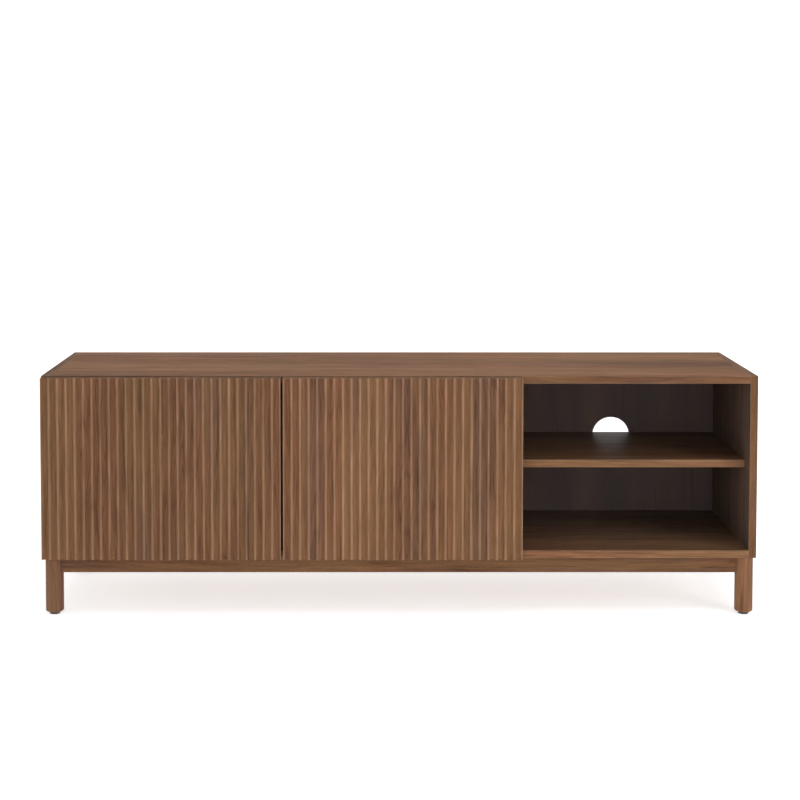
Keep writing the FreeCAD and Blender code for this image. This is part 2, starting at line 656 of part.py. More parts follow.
def make_rails():
    """Four rails let into the legs, screwed up into the bottom panel."""
    long_x = f"2 * ({LEG_X} - Sizes.rail_stop)"
    long_y = f"{LEG_REAR} - {LEG_FRONT} - 2 * Sizes.rail_stop"
    level = "Sizes.under - Sizes.rail_tall"
    half = "Sizes.rail_thick / 2"
    for i, (name, y) in enumerate((("front", LEG_FRONT), ("rear", LEG_REAR))):
        low = (f"-({LEG_X} - Sizes.rail_stop)", f"{y} - {half}", level)
        rail = board(f"{name}_rail_board", low, (long_x, "Sizes.rail_thick", "Sizes.rail_tall"))
        holes = rail_screw_holes(f"{name}_rail", RAIL_SCREWS[i:6:2])
        keep(machined(f"{name}_rail_machined", rail, holes), f"{name}_rail")
    for i, (name, side) in enumerate((("left", -1), ("right", 1))):
        low = (f"{side} * {LEG_X} - {half}", f"{LEG_FRONT} + Sizes.rail_stop", level)
        rail = board(f"{name}_rail_board", low, ("Sizes.rail_thick", long_y, "Sizes.rail_tall"))
        holes = rail_screw_holes(f"{name}_rail", [RAIL_SCREWS[6 + i]])
        keep(machined(f"{name}_rail_machined", rail, holes), f"{name}_rail")
    screws = [
        screw(f"rail_screw_{i}", (x, y, RAIL_HEAD_Z), "z", SCREW_HEAD, RAIL_SHAFT)
        for i, (x, y) in enumerate(RAIL_SCREWS)
    ]
    keep(grouped("all_rail_screws", screws), "rail_screws")


# ---- doors, hinges and latches ------------------------------------------------------
# A hinge is described from its axis: "inward" is the X direction from the axis to the
# door's middle, +1 on the left door and -1 on the right one.

LEFT_PIVOT = f"({DOOR_LEFT} + Sizes.pivot_in)"
RIGHT_PIVOT = f"({DOOR_RIGHT} - Sizes.pivot_in)"
RIGHT_DOOR_EDGE = f"({DOOR_RIGHT} - {DOOR_WIDE})"
DOORS = {
    "left": (DOOR_LEFT, LEFT_PIVOT, 1, f"(-{INNER})", PARTITION_LEFT, -1),
    "right": (RIGHT_DOOR_EDGE, RIGHT_PIVOT, -1, DIVIDER_LEFT, PARTITION_RIGHT, 1),
}
HINGE_LEVELS = {
    "upper": f"({DOOR_FOOT} + {DOOR_TALL} - Sizes.hinge_end)",
    "lower": f"({DOOR_FOOT} + Sizes.hinge_end)",
}
PIVOT_Y = f"({DOOR_BACK} - Sizes.pivot_deep)"
CUP_OFFSET = "(Sizes.cup_edge + Sizes.cup_radius - Sizes.pivot_in)"
CUP_SCREW_X = f"({CUP_OFFSET} + Sizes.cup_screw_in)"
CUP_SCREW_HEAD = ("3", "1")
CUP_SCREW_SHAFT = ("1.5", "9")
PLATE_Y = f"({FRONT} + Sizes.plate_in)"
PLATE_SCREW_HEAD = ("3.5", "1.5")
PLATE_SCREW_SHAFT = ("2", "12")
LATCH_MOUTH = f"({PARTITION_FRONT} - Sizes.latch_proud)"
LATCH_SCREW_Y = (
    f"({LATCH_MOUTH} + Sizes.latch_screw_front)",
    f"({LATCH_MOUTH} + Sizes.latch_long - Sizes.latch_screw_rear)",
)
LATCH_SCREW_HEAD = ("3", "1.5")
LATCH_SCREW_SHAFT = ("1.5", "18")


def plate_screw_holes(name, face, way):
    """Pilot holes for the mounting plates in a panel face."""
    deep = f"{PLATE_SCREW_SHAFT[1]} - Sizes.plate_thick"
    radius = f"{PLATE_SCREW_SHAFT[0]} + Sizes.fit_air"
    holes = []
    for level_name, level in HINGE_LEVELS.items():
        for sign in (-1, 1):
            spot = (face, PLATE_Y, f"{level} + {sign} * Sizes.plate_screw_z")
            hole_name = f"{name}_{level_name}_plate_hole_{sign + 1}"
            holes.append(rod(hole_name, radius, deep, spot, way))
    return holes


def latch_screw_holes(name):
    """Pilot holes for both latch housings in the partition."""
    deep = f"{LATCH_SCREW_SHAFT[1]} - Sizes.latch_wide"
    holes = []
    for face, way in ((PARTITION_LEFT, "x"), (PARTITION_RIGHT, "-x")):
        for i, y in enumerate(LATCH_SCREW_Y):
            spot = (face, y, "Sizes.latch_z")
            radius = f"{LATCH_SCREW_SHAFT[0]} + Sizes.fit_air"
            holes.append(rod(f"{name}_latch_hole{way}_{i}", radius, deep, spot, way))
    return holes


def make_door_panel(side, left_edge, pivot, inward):
    """Door board with full-height concave flutes, bored for its hinge cups."""
    pitch = f"({DOOR_WIDE} / {FLUTES})"
    half_chord = f"(({pitch} - Sizes.flute_ridge) / 2)"
    radius = f"(({half_chord}^2 + Sizes.flute_depth^2) / (2 * Sizes.flute_depth))"
    size = (DOOR_WIDE, "Sizes.door_thick", DOOR_TALL)
    body = padded_body(f"{side}_door_board", (left_edge, "-Sizes.depth / 2", DOOR_FOOT), size)
    doc.recompute()
    plain_volume = body.Shape.Volume
    outline = new_sketch(body, f"{side}_flute_outline")
    draw_circle(outline, f"{pitch} / 2", f"Sizes.flute_depth - {radius}", radius)
    flute = body.newObject("PartDesign::Pocket", f"{side}_flute")
    flute.Profile = outline
    flute.Type = "ThroughAll"
    flute.Midplane = True
    body.Tip = flute
    doc.recompute()
    one_flute = plain_volume - body.Shape.Volume
    row = body.newObject("PartDesign::LinearPattern", f"{side}_flutes")
    row.Originals = [flute]
    row.Direction = (outline, ["H_Axis"])
    row.Occurrences = FLUTES
    row.setExpression("Length", f"{DOOR_WIDE} - {pitch}")
    body.Tip = row
    doc.recompute()
    cut_away = plain_volume - body.Shape.Volume
    if not (one_flute > 0 and abs(cut_away - FLUTES * one_flute) < one_flute / 100):
        raise ValueError(f"{side} door: {cut_away / one_flute:.2f} flutes cut")
    bores = []
    for level_name, level in HINGE_LEVELS.items():
        name = f"{side}_{level_name}_cup_bore"
        mouth = (f"{pivot} + {inward} * {CUP_OFFSET}", DOOR_BACK, level)
        bores.append(rod(name, "Sizes.cup_radius", "Sizes.cup_deep", mouth, "-y"))
        screw_x = f"{pivot} + {inward} * {CUP_SCREW_X}"
        for sign in (-1, 1):
            spot = (screw_x, DOOR_BACK, f"{level} + {sign} * Sizes.cup_screw_z")
            hole = f"{side}_{level_name}_cup_hole_{sign + 1}"
            shaft = f"{CUP_SCREW_SHAFT[1]} - Sizes.cup_wall"
            bores.append(rod(hole, f"{CUP_SCREW_SHAFT[0]} + Sizes.fit_air", shaft, spot, "-y"))
    keep(machined(f"{side}_door_machined", body, bores), f"{side}_door_panel")


def make_hinge(side, level_name, level, pivot, inward, face):
    """Cup let into the door, arm hooked round the panel's front edge, and mounting plate."""
    name = f"{side}_{level_name}"
    cup_x = f"({pivot} + {inward} * {CUP_OFFSET})"
    cup_floor = f"({DOOR_BACK} - Sizes.cup_deep)"
    can = rod(f"{name}_can", "Sizes.cup_radius", "Sizes.cup_deep", (cup_x, DOOR_BACK, level), "-y")
    flange = middle_block(
        f"{name}_flange",
        (f"{cup_x} + {inward} * Sizes.cup_screw_in", f"{DOOR_BACK} + Sizes.cup_wall / 2", level),
        ("Sizes.flange_wide", "Sizes.cup_wall", "Sizes.flange_tall"),
    )
    cup_hollow = rod(
        f"{name}_hollow",
        "Sizes.cup_radius - Sizes.cup_wall",
        "Sizes.cup_deep",
        (cup_x, f"{cup_floor} + Sizes.cup_wall", level),
        "y",
    )
    shell = machined(f"{name}_shell", joined(f"{name}_pressing", [can, flange]), [cup_hollow])
    ear_x = f"{pivot} + {inward} * Sizes.ear_shift"
    ear_y = f"{cup_floor} + (Sizes.cup_wall + Sizes.ear_deep) / 2"
    ear_size = ("Sizes.ear_wide", "Sizes.ear_deep", "Sizes.ear_thick")
    screw_x = f"{pivot} + {inward} * {CUP_SCREW_X}"
    screw_radius = f"{CUP_SCREW_SHAFT[0]} + Sizes.fit_air"
    ears = []
    holes = []
    for sign in (-1, 1):
        ear_middle = (ear_x, ear_y, f"{level} + {sign} * Sizes.ear_spread")
        ears.append(middle_block(f"{name}_ear_{sign + 1}", ear_middle, ear_size))
        spot = (screw_x, DOOR_BACK, f"{level} + {sign} * Sizes.cup_screw_z")
        hole = f"{name}_flange_hole_{sign + 1}"
        holes.append(rod(hole, screw_radius, "Sizes.cup_wall", spot, "y"))
    pin_foot = (pivot, PIVOT_Y, f"{level} - Sizes.pin_long / 2")
    holes.append(rod(f"{name}_pin_seat", "Sizes.pin_radius", "Sizes.pin_long", pin_foot))
    cup = machined(f"{name}_cup", joined(f"{name}_eared", [shell] + ears), holes)
    keep(cup, f"{name}_hinge_cup")

    arm_x = f"({face} + {inward} * (Sizes.plate_thick + Sizes.arm_thick / 2))"
    arm_rear = f"({PLATE_Y} + Sizes.saddle_long / 2)"
    hook_long = f"{inward} * ({arm_x} - {pivot}) + Sizes.arm_thick / 2"
    hook = middle_block(
        f"{name}_hook",
        (f"({pivot} + {arm_x} + {inward} * Sizes.arm_thick / 2) / 2", PIVOT_Y, level),
        (hook_long, "Sizes.arm_thick", "Sizes.arm_tall"),
    )
    stem_front = f"({PIVOT_Y} - Sizes.arm_thick / 2)"
    stem = middle_block(
        f"{name}_stem",
        (arm_x, f"({stem_front} + {arm_rear}) / 2", level),
        ("Sizes.arm_thick", f"{arm_rear} - {stem_front}", "Sizes.arm_tall"),
    )
    saddle = middle_block(
        f"{name}_saddle",
        (arm_x, PLATE_Y, level),
        ("Sizes.arm_thick", "Sizes.saddle_long", "Sizes.saddle_tall"),
    )
    eye_foot = (pivot, PIVOT_Y, f"{level} - Sizes.arm_tall / 2")
    eye = rod(f"{name}_eye", "Sizes.knuckle_radius", "Sizes.arm_tall", eye_foot)
    eye_radius = "Sizes.pin_radius + Sizes.pin_play"
    eye_hole = rod(f"{name}_eye_hole", eye_radius, "Sizes.arm_tall", eye_foot)
    arm = machined(f"{name}_arm", joined(f"{name}_bent", [hook, stem, saddle, eye]), [eye_hole])
    keep(arm, f"{name}_hinge_arm")

    plate_x = f"({face} + {inward} * Sizes.plate_thick / 2)"
    plate_middle = (plate_x, PLATE_Y, level)
    base_size = ("Sizes.plate_thick", "Sizes.plate_long", "Sizes.plate_tall")
    wing_size = ("Sizes.plate_thick", "Sizes.wing_long", "Sizes.wing_tall")
    base = middle_block(f"{name}_base", plate_middle, base_size)
    wings = middle_block(f"{name}_wings", plate_middle, wing_size)
    way = "x" if inward < 0 else "-x"
    mount_holes = []
    for sign in (-1, 1):
        start = f"{face} + {inward} * Sizes.plate_thick"
        spot = (start, PLATE_Y, f"{level} + {sign} * Sizes.plate_screw_z")
        radius = f"{PLATE_SCREW_SHAFT[0]} + Sizes.fit_air"
        hole = f"{name}_mount_hole_{sign + 1}"
        mount_holes.append(rod(hole, radius, "Sizes.plate_thick", spot, way))
    plate = machined(f"{name}_plate", joined(f"{name}_cross", [base, wings]), mount_holes)
    keep(plate, f"{name}_hinge_plate")


def make_hinge_fasteners(side, pivot, inward, face):
    """Pins and screws of one door's hinges. Returns the plate screws, which share one group."""
    pins = []
    cup_screws = []
    plate_screws = []
    way = "x" if inward < 0 else "-x"
    cup_screw_x = f"{pivot} + {inward} * {CUP_SCREW_X}"
    cup_screw_y = f"{DOOR_BACK} + Sizes.cup_wall + {CUP_SCREW_HEAD[1]}"
    plate_screw_x = f"{face} + {inward} * (Sizes.plate_thick + {PLATE_SCREW_HEAD[1]})"
    for level_name, level in HINGE_LEVELS.items():
        name = f"{side}_{level_name}"
        foot = (pivot, PIVOT_Y, f"{level} - Sizes.pin_long / 2")
        pins.append(rod(f"{name}_pin", "Sizes.pin_radius", "Sizes.pin_long", foot))
        for sign in (-1, 1):
            spot = (cup_screw_x, cup_screw_y, f"{level} + {sign} * Sizes.cup_screw_z")
            label = f"{name}_cup_screw_{sign + 1}"
            cup_screws.append(screw(label, spot, "-y", CUP_SCREW_HEAD, CUP_SCREW_SHAFT))
            spot = (plate_screw_x, PLATE_Y, f"{level} + {sign} * Sizes.plate_screw_z")
            label = f"{name}_plate_screw_{sign + 1}"
            plate_screws.append(screw(label, spot, way, PLATE_SCREW_HEAD, PLATE_SCREW_SHAFT))
    keep(grouped(f"{side}_pins", pins), f"{side}_hinge_pins")
    keep(grouped(f"{side}_all_cup_screws", cup_screws), f"{side}_cup_screws")
    return plate_screws


def make_latch(side, face, outward):
    """Push latch on the partition: housing and plunger. Returns its two screws."""
    centre_x = f"({face} + {outward} * Sizes.latch_wide / 2)"
    housing = middle_block(
        f"{side}_latch_case",
        (centre_x, f"{LATCH_MOUTH} + Sizes.latch_long / 2", "Sizes.latch_z"),
        ("Sizes.latch_wide", "Sizes.latch_long", "Sizes.latch_tall"),
    )
    mouth = (centre_x, LATCH_MOUTH, "Sizes.latch_z")
    bore_radius = "Sizes.plunger_radius + Sizes.plunger_play"
    cutters = [rod(f"{side}_latch_bore", bore_radius, "Sizes.plunger_bore", mouth, "y")]
    way = "x" if outward < 0 else "-x"
    screws = []
    for i, y in enumerate(LATCH_SCREW_Y):
        outer = f"({face} + {outward} * Sizes.latch_wide)"
        spot = (outer, y, "Sizes.latch_z")
        radius = f"{LATCH_SCREW_SHAFT[0]} + Sizes.fit_air"
        cutters.append(rod(f"{side}_latch_hole_{i}", radius, "Sizes.latch_wide", spot, way))
        top = (f"{outer} + {outward} * {LATCH_SCREW_HEAD[1]}", y, "Sizes.latch_z")
        screws.append(screw(f"{side}_latch_screw_{i}", top, way, LATCH_SCREW_HEAD, LATCH_SCREW_SHAFT))
    keep(machined(f"{side}_latch_machined", housing, cutters), f"{side}_latch_housing")
    plunger = turned_body(
        f"{side}_plunger_turned",
        (
            ("0", "0"),
            ("Sizes.plunger_radius - Sizes.plunger_chamfer", "0"),
            ("Sizes.plunger_radius", "Sizes.plunger_chamfer"),
            ("Sizes.plunger_radius", "Sizes.plunger_long"),
            ("0", "Sizes.plunger_long"),
        ),
        ("0", "0", "0"),
    )
    tip = (centre_x, f"{DOOR_BACK} + Sizes.strike_thick + Sizes.plunger_air", "Sizes.latch_z")
    keep(place(plunger, tip, "y"), f"{side}_latch_plunger")
    spot = (centre_x, DOOR_BACK, "Sizes.latch_z")
    strike = rod(f"{side}_strike", "Sizes.strike_radius", "Sizes.strike_thick", spot, "y")
    keep(strike, f"{side}_strike_plate")
    return screws


def make_bumpers(side, left_edge, inward):
    """Soft pads on the back of a door, near its free edge, that meet the top and bottom panels."""
    along = f"{DOOR_WIDE} - Sizes.bumper_in" if inward > 0 else "Sizes.bumper_in"
    pad_x = f"({left_edge} + {along})"
    radius, thick = "Sizes.bumper_radius", "Sizes.bumper_thick"
    pads = [
        rod(f"{side}_bumper_{i}", radius, thick, (pad_x, DOOR_BACK, level), "y")
        for i, level in enumerate((TOP_MIDDLE, FOOT_MIDDLE))
    ]
    keep(grouped(f"{side}_pads", pads), f"{side}_door_bumpers")


def make_doors():
    """Both doors with everything that hangs and holds them."""
    plate_screws = []
    latch_screws = []
    for side, (left_edge, pivot, inward, face, latch_face, latch_way) in DOORS.items():
        make_door_panel(side, left_edge, pivot, inward)
        for level_name, level in HINGE_LEVELS.items():
            make_hinge(side, level_name, level, pivot, inward, face)
        plate_screws += make_hinge_fasteners(side, pivot, inward, face)
        latch_screws += make_latch(side, latch_face, latch_way)
        make_bumpers(side, left_edge, inward)
    keep(grouped("all_plate_screws", plate_screws), "plate_screws")
    keep(grouped("all_latch_screws", latch_screws), "latch_screws")


def check_and_export():
    """Stop on any failed object, then write one STEP file per sub-part."""
    doc.recompute()
    for item in doc.Objects:
        if "Invalid" in item.State or "Error" in item.State:
            raise ValueError(f"{item.Name} ({item.Label}) failed: {item.State}")
    os.makedirs("parts", exist_ok=True)
    for item in subparts:
        if item.Shape.isNull() or not item.Shape.isValid():
            raise ValueError(f"{item.Label} has no valid shape")
        item.Shape.exportStep(f"parts/{item.Label}.step")
        print(f"{item.Label}: {len(item.Shape.Solids)} solid(s), {item.Shape.Volume / 1000:.1f} cm3")
    print(len(subparts), "sub-parts")


make_top_and_bottom()
make_sides()
make_uprights()
make_backs_and_shelves()
make_pegs()
make_joint_fittings()
make_legs()
make_rails()
make_doors()
check_and_export()
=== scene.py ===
from math import radians

import bpy
import numpy as np
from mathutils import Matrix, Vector


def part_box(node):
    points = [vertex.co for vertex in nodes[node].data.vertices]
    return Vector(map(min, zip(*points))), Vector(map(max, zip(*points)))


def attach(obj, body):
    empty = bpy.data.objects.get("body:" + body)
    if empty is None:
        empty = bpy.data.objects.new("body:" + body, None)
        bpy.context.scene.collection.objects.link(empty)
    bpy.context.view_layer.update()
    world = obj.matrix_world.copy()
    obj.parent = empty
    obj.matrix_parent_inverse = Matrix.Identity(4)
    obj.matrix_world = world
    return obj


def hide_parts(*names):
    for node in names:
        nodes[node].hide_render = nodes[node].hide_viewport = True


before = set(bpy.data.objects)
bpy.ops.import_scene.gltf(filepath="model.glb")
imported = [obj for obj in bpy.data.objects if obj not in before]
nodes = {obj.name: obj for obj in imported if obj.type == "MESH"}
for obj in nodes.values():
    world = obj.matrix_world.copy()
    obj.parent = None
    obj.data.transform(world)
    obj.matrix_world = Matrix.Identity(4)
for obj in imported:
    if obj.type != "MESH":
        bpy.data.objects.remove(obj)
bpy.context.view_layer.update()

MM = 0.001
AXIS = {"x": 0, "y": 1, "z": 2}

# Tones of the walnut foil, linear red, green and blue.
RED_BROWN = (0.212, 0.099, 0.052, 1)
OLIVE_BROWN = (0.213, 0.110, 0.055, 1)
GREY_BROWN = (0.150, 0.084, 0.059, 1)
RING_BROWN = (0.090, 0.046, 0.028, 1)
# Lighter brown for worn edges and for painted highlights on arrises and flute lands.
WORN_AND_HIGHLIGHT_BROWN = (0.330, 0.205, 0.135, 1)
BACKBOARD_BROWN = (0.142, 0.100, 0.086, 1)
BACKBOARD_GREY = (0.112, 0.087, 0.082, 1)
BACKBOARD_LINE = (0.072, 0.052, 0.044, 1)
HARDBOARD_BROWN = (0.150, 0.088, 0.052, 1)
HARDBOARD_DARK = (0.105, 0.060, 0.036, 1)

# Painted shade: tints that darken and grey the foil on faces inside the bays, where shade falls:
# floors at the front and at the back, and walls. The grey cast at the back of the floors is a
# painted reflection.
BAY_FLOOR_FRONT_SHADE = (0.80, 0.86, 0.92)
BAY_FLOOR_BACK_SHADE_AND_SHEEN = (0.85, 1.20, 1.65)
BAY_WALL_SHADE = (0.58, 0.74, 1.05)

# How strongly the satin foils mirror what is round them; 0.5 would be clear lacquer.
FOIL_SHINE = 0.015
SIDE_SHINE = 0.005
TOP_SHINE = 0.002

# Depths between which a board's edge band, or the painted light and shade of its front edge, fades
# into the face.
BAND_START, BAND_END = 0.5 * MM, 0.8 * MM
LIP_START, LIP_END = 0.3 * MM, 0.8 * MM

# Two faces that meet at a larger angle than this have a crisp edge between them.
CRISP_ANGLE = radians(32)


# ---- finishes -------------------------------------------------------------------------

class Wire:
    """A value in a finish. Arithmetic on it adds Math nodes, so 1 - mask reads as written."""

    def __init__(self, finish, socket):
        self.finish = finish
        self.socket = socket

    def math(self, operation, first, second):
        return self.finish.add("ShaderNodeMath", {"operation": operation}, {0: first, 1: second})

    def __add__(self, other):
        return self.math("ADD", self, other)

    def __radd__(self, other):
        return self.math("ADD", other, self)

    def __sub__(self, other):
        return self.math("SUBTRACT", self, other)

    def __rsub__(self, other):
        return self.math("SUBTRACT", other, self)

    def __mul__(self, other):
        return self.math("MULTIPLY", self, other)

    def __rmul__(self, other):
        return self.math("MULTIPLY", other, self)


class Finish:
    """A procedural finish on a piece's own coordinates, in metres."""

    def __init__(self, name):
        self.material = bpy.data.materials.new(name)
        self.material.use_nodes = True
        self.tree = self.material.node_tree
        self.shader = self.tree.nodes["Principled BSDF"]
        self.place = self.add("ShaderNodeTexCoord", output="Object")

    def feed(self, socket, value):
        """Link a wire to a socket, or set the socket to a plain value."""
        if isinstance(value, Wire):
            self.tree.links.new(value.socket, socket)
        else:
            socket.default_value = value

    def add(self, kind, settings=None, sockets=None, output=0):
        """Add a node: its settings come first, then the values or links of its sockets."""
        node = self.tree.nodes.new(kind)
        for key, value in (settings or {}).items():
            setattr(node, key, value)
        for key, value in (sockets or {}).items():
            self.feed(node.inputs[key], value)
        return Wire(self, node.outputs[output])

    def coat(self, **sockets):
        """Feed the shader; an underscore in a key stands for a space in the socket's name."""
        for key, value in sockets.items():
            self.feed(self.shader.inputs[key.replace("_", " ")], value)
        return self.material

    def noise(self, place, detail=2.0, roughness=0.5):
        """Soft noise from 0 to 1, one blotch to a unit of the place it reads."""
        return self.add(
            "ShaderNodeTexNoise", {"noise_dimensions": "3D"},
            {"Vector": place, "Scale": 1.0, "Detail": detail, "Roughness": roughness},
        )

    def between(self, value, low, high):
        """Smooth step: 0 below the low value, 1 above the high value."""
        return self.add(
            "ShaderNodeMapRange", {"interpolation_type": "SMOOTHSTEP"},
            {"Value": value, "From Min": low, "From Max": high, "To Min": 0.0, "To Max": 1.0},
        )

    def blend(self, share, first, second, kind="RGBA"):
        """Mix two colours or two vectors by a share."""
        first_input, second_input, result = {"RGBA": (6, 7, 2), "VECTOR": (4, 5, 1)}[kind]
        return self.add(
            "ShaderNodeMix", {"data_type": kind},
            {0: share, first_input: first, second_input: second}, result,
        )

    def scaled(self, vector, factor):
        """A colour or vector times one number."""
        return self.add(
            "ShaderNodeVectorMath", {"operation": "SCALE"}, {0: vector, "Scale": factor}
        )

    def times(self, vector, factors):
        """A vector times three numbers, one to each axis."""
        return self.add(
            "ShaderNodeVectorMath", {"operation": "MULTIPLY"}, {0: vector, 1: factors}
        )

    def plus(self, first, second):
        """The sum of two vectors."""
        return self.add("ShaderNodeVectorMath", {"operation": "ADD"}, {0: first, 1: second})

    def along(self, vector, axis):
        """One coordinate of a vector."""
        return self.add("ShaderNodeSeparateXYZ", {}, {0: vector}, AXIS[axis])

    def bump(self, height, strength, depth):
        """Surface relief from a height between 0 and 1."""
        return self.add(
            "ShaderNodeBump", {}, {"Height": height, "Strength": strength, "Distance": depth}
        )


class WoodGrain:
    """Grain of one board: fibres run along one axis, and edge bands on the board's ends
    have fibres along a second axis."""

    def __init__(self, finish, low, high, grain, band, shift):
        self.finish = finish
        self.grain = grain
        self.band = band
        level = finish.along(finish.place, grain)
        foot, top = low[AXIS[grain]], high[AXIS[grain]]
        at_foot = 1 - finish.between(level, foot + BAND_START, foot + BAND_END)
        at_top = finish.between(level, top - BAND_END, top - BAND_START)
        self.on_band = at_foot + at_top
        moved = finish.add("ShaderNodeMapping", {}, {"Vector": finish.place, "Location": shift})
        sway = finish.noise(finish.times(moved, self.stretch(grain, 1.4, 5.0)), detail=1.0)
        bend = self.stretch(grain, 0.0, 1.0)
        self.bent = finish.plus(moved, finish.times(finish.scaled(bend, sway - 0.5), (0.05,) * 3))

    @staticmethod
    def stretch(axis, along, across):
        """Scale that is one number along an axis and another across it."""
        factors = [across] * 3
        factors[AXIS[axis]] = along
        return tuple(factors)

    def noise(self, along, across, detail=2.0, roughness=0.5):
        """Noise drawn out along the fibres: blotches to a metre along and across them."""
        board = self.finish.times(self.bent, self.stretch(self.grain, along, across))
        band = self.finish.times(self.bent, self.stretch(self.band, along, across))
        place = self.finish.blend(self.on_band, board, band, "VECTOR")
        return self.finish.noise(place, detail, roughness)


def edge_wear(finish, low, high, reach=1.1 * MM):
    """Share from 0 to 1 near the edges of a box. The middle one of the three distances to
    the box's faces is small only beside an edge."""
    gaps = []
    for axis, (start, end) in zip("xyz", zip(low, high)):
        half = (end - start) / 2
        offset = finish.along(finish.place, axis) - (start + end) / 2
        gaps.append(half - offset.math("ABSOLUTE", offset, 0))
    first, second, third = gaps
    smaller = first.math("MINIMUM", first, second)
    larger = first.math("MAXIMUM", first, second)
    middle = first.math("MAXIMUM", smaller, first.math("MINIMUM", larger, third))
    return 1 - finish.between(middle, 0.0, reach)


def painted_bay_shade(finish, low, high, inner):
    """Painted shade on a board's inner face inside a bay: its share, 1 on the face and 0 elsewhere,
    and the tint there, darker, and greyer at the back of a floor as a painted grey reflection.
    """
    if inner == "floor":
        to_face = high.z - finish.along(finish.place, "z")
        back = finish.between(finish.along(finish.place, "y"), low.y, high.y)
        tint = finish.blend(back, BAY_FLOOR_FRONT_SHADE, BAY_FLOOR_BACK_SHADE_AND_SHEEN, "VECTOR")
    else:
        level = finish.along(finish.place, "x")
        from_low, from_high = level - low.x, high.x - level
        to_face = from_low if inner == "low x" else from_high
        if inner == "both x":
            to_face = from_low.math("MINIMUM", from_low, from_high)
        tint = BAY_WALL_SHADE
    return 1 - finish.between(to_face, 0.1 * MM, 0.3 * MM), tint


def walnut(name, low, high, grain, band, shift, painted_light_and_shade=1.0, front_edge_painted_light=1.0, shine=FOIL_SHINE,
           figure=0.5, inner=None, ridge=None):
    """Walnut foil: colour bands, cathedral rings, streaks, flecks, fibres and pores, with
    lighter edges that are partly wear and partly a painted highlight. painted_light_and_shade is how
    light the piece is painted, for how light falls on it; front_edge_painted_light how much lighter
    or darker its front edge is painted beside that; shine how much it mirrors, and figure how much
    its broad bands differ. inner is the face that gets painted shade inside a bay: floor, low x,
    high x or both x.
    ridge is the front plane of a fluted board: its lands get a painted highlight, and its flutes
    painted shade."""
    finish = Finish(name)
    wood = WoodGrain(finish, low, high, grain, band, shift)
    bands = wood.noise(1.6, 15.0)
    greys = wood.noise(1.2, 21.0)
    broad = wood.noise(1.0, 9.0, detail=1.0)
    rings = wood.noise(1.6, 26.0, detail=1.0)
    streaks = wood.noise(4.5, 115.0, detail=3.0, roughness=0.65)
    flecks = wood.noise(11.0, 240.0, roughness=0.6)
    fibres = wood.noise(16.0, 620.0, roughness=0.6)
    pores = wood.noise(45.0, 1700.0, detail=1.0)

    colour = finish.blend(finish.between(bands, 0.40, 0.60), RED_BROWN, OLIVE_BROWN)
    colour = finish.blend(finish.between(greys, 0.50, 0.66) * 0.55, colour, GREY_BROWN)
    waves = rings.math("SINE", rings * 110.0, 0)
    ring_share = finish.between(waves, 0.30, 1.0) * finish.between(bands, 0.52, 0.44)
    colour = finish.blend(ring_share * 0.36, colour, RING_BROWN)
    colour = finish.blend(finish.between(streaks, 0.57, 0.70) * 0.42, colour, RING_BROWN)
    pore_share = finish.between(pores, 0.64, 0.72)
    colour = finish.blend(pore_share * 0.50, colour, RING_BROWN)
    light = 1 + figure * (broad - 0.5) + 0.70 * (0.5 - streaks) + 0.55 * (fibres - 0.5)
    light = light + 0.75 * (flecks - 0.5)
    # Lighter edges, partly wear and partly a painted highlight along the arrises.
    wear = edge_wear(finish, low, high, 1.4 * MM)
    # On a fluted board: a painted highlight on the lands, and painted shade deeper in the flutes.
    if ridge is not None:
        depth = finish.along(finish.place, "y") - ridge
        wear = wear + (1 - finish.between(depth, 0.1 * MM, 0.9 * MM)) * 0.66
        light = light * (1 - 0.20 * finish.between(depth, 0.3 * MM, 2.8 * MM))
    colour = finish.blend(wear * (0.34 + 0.44 * fibres), colour, WORN_AND_HIGHLIGHT_BROWN)
    # Painted light and shade on the front edge: lighter where the value is above 1, darker where
    # below.
    if front_edge_painted_light != 1.0:
        depth = finish.along(finish.place, "y") - low.y
        light = light * (front_edge_painted_light + (1 - front_edge_painted_light) * finish.between(depth, LIP_START, LIP_END))
    # Painted shade on the inner face inside a bay: darker, and greyer at the back of a floor as a
    # painted grey reflection.
    if inner is not None:
        face, bay_shade_tints = painted_bay_shade(finish, low, high, inner)
        colour = finish.blend(face, colour, finish.times(colour, bay_shade_tints))
    # Grain lightness times the piece's painted light and shade.
    colour = finish.scaled(colour, light * painted_light_and_shade)
    roughness = 0.42 + 0.20 * (streaks - 0.5) + 0.10 * pore_share - 0.05 * wear
    relief = finish.bump(fibres - 0.6 * pore_share, 0.22, 0.12 * MM)
    return finish.coat(
        Base_Color=colour, Roughness=roughness, Normal=relief, Specular_IOR_Level=shine
    )


